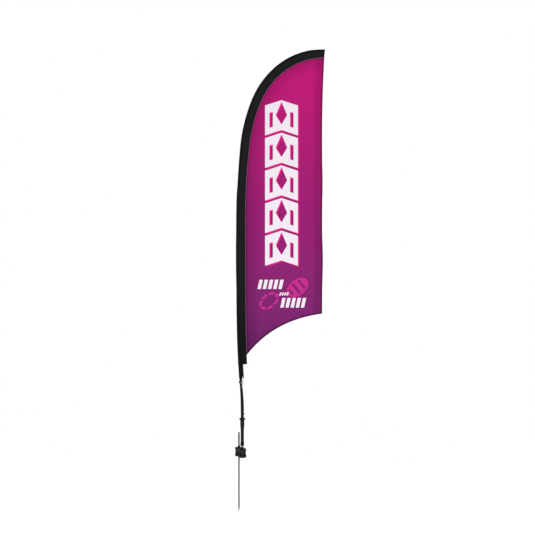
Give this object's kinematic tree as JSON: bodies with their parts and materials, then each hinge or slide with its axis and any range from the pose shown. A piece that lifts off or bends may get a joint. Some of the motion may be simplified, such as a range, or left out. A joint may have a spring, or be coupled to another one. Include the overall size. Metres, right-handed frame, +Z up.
{
  "type": "feather banner flag on ground spike",
  "caption": "Feather-shaped banner in a bowed pole with a black pole pocket, tensioned by an elastic loop, on a base tube that swivels on a ground spike.",
  "frame": {"origin": "on the axis of the steel rod where it enters the ground, at the underside of the moulded block", "axes": "+Z up along the rod, +X from the pole towards the banner's free edge, +Y away from the banner's front"},
  "size_m": [0.7078, 0.112, 3.6467],
  "materials": {
    "zinc_steel": "bright zinc plated, satin",
    "spindle_steel": "ground and polished",
    "bearing_steel": "ground bearing steel",
    "dark_screw": "black oxide",
    "block_nylon": "glass-filled nylon, fine moulded grain",
    "coupling_nylon": "moulded nylon, satin",
    "cap_rubber": "moulded rubber, matt",
    "seal_rubber": "nitrile rubber",
    "bush_acetal": "natural acetal",
    "black_aluminium": "black anodised, satin",
    "pole_fibreglass": "black pultruded fibreglass, satin gloss",
    "ferrule_aluminium": "satin",
    "sleeve_fabric": "black woven polyester, dull sheen",
    "print_fabric": "knitted polyester with dye-sublimation print, magenta to purple",
    "hem_fabric": "folded and stitched printed polyester",
    "strap_webbing": "black polyester webbing",
    "eyelet_nickel": "nickel plated brass",
    "clip_plastic": "grey moulded nylon",
    "bungee_cord": "braided elastic cord, white",
    "hook_acetal": "light grey moulded acetal"
  },
  "bodies": {
    "ground_spike": {"spike_rod": "zinc_steel", "spike_block": "block_nylon", "clamp_screw": "dark_screw", "bearing_cover": "block_nylon", "cover_screws": "zinc_steel", "bearing_outer_rings": "bearing_steel", "shaft_seal": "seal_rubber"},
    "swivel": {"spindle": "spindle_steel", "bearing_inner_rings": "bearing_steel", "bearing_balls": "bearing_steel", "bearing_spacer": "zinc_steel", "retaining_clip": "dark_screw"},
    "mast": {"base_tube": "black_aluminium", "tube_foot_cap": "cap_rubber", "lower_bush": "bush_acetal", "upper_bush": "bush_acetal", "tube_stop": "bush_acetal", "coupling_socket": "coupling_nylon", "socket_rivets": "zinc_steel", "button_spring": "bearing_steel", "lower_pole": "pole_fibreglass", "lower_ferrule": "ferrule_aluminium", "mid_pole": "pole_fibreglass", "middle_ferrule": "ferrule_aluminium", "upper_pole": "pole_fibreglass", "upper_ferrule": "ferrule_aluminium", "tip_pole": "pole_fibreglass", "tip_cap": "cap_rubber", "pole_sleeve": "sleeve_fabric", "sleeve_end_tape": "sleeve_fabric", "flag_panel": "print_fabric", "leech_hem": "hem_fabric", "foot_hem": "hem_fabric", "tack_strap": "strap_webbing", "strap_eyelet": "eyelet_nickel", "tension_clip": "clip_plastic", "clip_screw": "zinc_steel", "bungee_loop": "bungee_cord"},
    "collar": {"lock_collar": "coupling_nylon"},
    "button": {"snap_button": "dark_screw"},
    "hook": {"bungee_hook": "hook_acetal"}
  },
  "joints": [
    {"name": "spindle_swivel", "type": "hinge", "parent": "ground_spike", "child": "swivel", "pos_m": [0.028, -0.0485, 0.04], "axis": [0, 0, 1], "continuous": true},
    {"name": "mast_lift", "type": "slide", "parent": "swivel", "child": "mast", "axis": [0, 0, 1], "range_m": [0, 0.14]},
    {"name": "collar_twist", "type": "hinge", "parent": "mast", "child": "collar", "pos_m": [0.028, -0.0485, 0.299], "axis": [0, 0, 1], "range_deg": [0, 90]},
    {"name": "button_press", "type": "slide", "parent": "mast", "child": "button", "axis": [-1, 0, 0], "range_m": [0, 0.004], "stiffness_N_per_m": 800, "springref_m": -0.003, "deforming": ["button_spring"]},
    {"name": "hook_pull", "type": "slide", "parent": "mast", "child": "hook", "axis": [0, 0, -1], "range_m": [0, 0.014], "stiffness_N_per_m": 300, "springref_m": -0.01, "deforming": ["bungee_loop"]}
  ]
}
